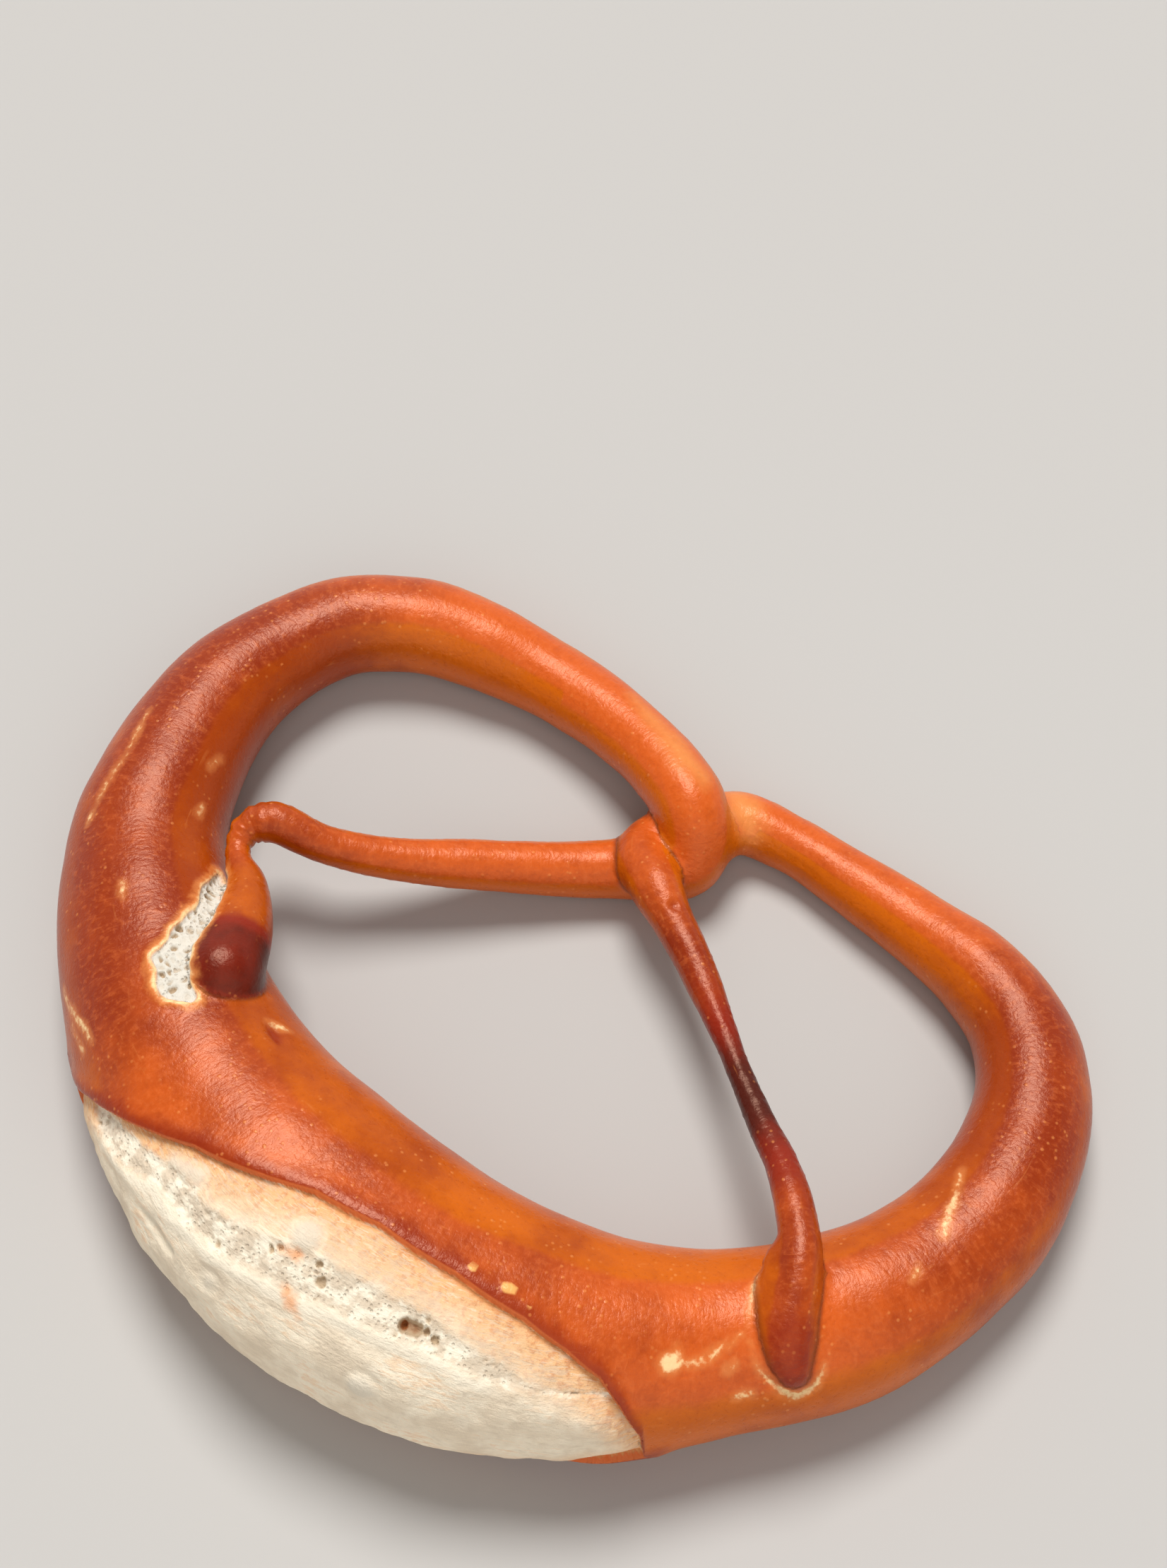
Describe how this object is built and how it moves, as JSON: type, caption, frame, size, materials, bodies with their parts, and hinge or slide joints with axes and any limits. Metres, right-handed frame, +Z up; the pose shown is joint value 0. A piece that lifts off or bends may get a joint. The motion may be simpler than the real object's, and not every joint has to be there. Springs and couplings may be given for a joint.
{
  "type": "soft pretzel",
  "caption": "Soft lye pretzel: one rope of dough in a ring, twisted and pressed onto its thick belly, with a satin red-brown crust and a pale open split.",
  "frame": {"origin": "on the surface that the pretzel rests on, below the middle of its outline", "axes": "+Z up from the baked underside; +Y from the thick belly towards the arch and the top of the loops; +X across both loops, towards the one that the long thin arm crosses to"},
  "size_m": [0.1852, 0.1372, 0.035],
  "materials": {
    "crust": "satin lye-baked crust, red-brown, with a matt cream split along the belly"
  },
  "bodies": {
    "root": {"pretzel": "crust"}
  },
  "joints": []
}
